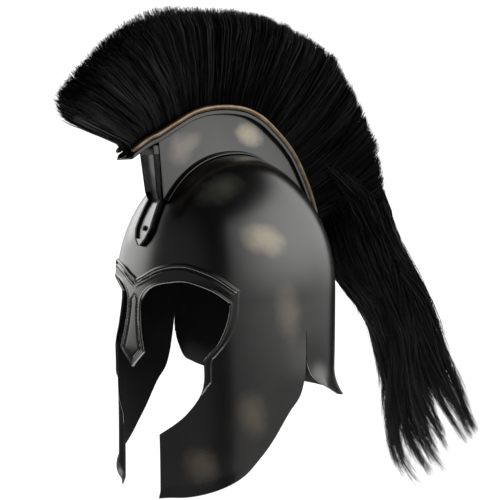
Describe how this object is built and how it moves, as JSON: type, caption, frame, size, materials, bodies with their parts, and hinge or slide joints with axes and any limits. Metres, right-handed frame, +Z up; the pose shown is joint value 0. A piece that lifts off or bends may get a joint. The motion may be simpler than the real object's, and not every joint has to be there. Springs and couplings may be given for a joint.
{
  "type": "crested greek helmet",
  "caption": "Open-faced Greek helmet with cheek guards, nasal, neck guard, raised crest holder and a long horsehair plume.",
  "frame": {"origin": "inside top of the bowl, where the helmet sits on the crown of the head", "axes": "+Z up along the wearer's head, -Y the front of the helmet, +X the wearer's left, X = 0 the mirror plane of the metal"},
  "size_m": [0.2231, 0.5575, 0.572],
  "materials": {
    "dark_bronze": "dark patinated bronze, satin with worn olive and tan patches",
    "worn_brass": "rubbed brass edge",
    "horsehair": "black horsehair, soft sheen"
  },
  "bodies": {
    "root": {"helmet_shell": "dark_bronze", "crest_holder": "dark_bronze", "front_bracket": "dark_bronze", "bracket_rivet": "dark_bronze", "lip_trim_left": "worn_brass", "lip_trim_right": "worn_brass", "horsehair_plume": "horsehair"}
  },
  "joints": []
}
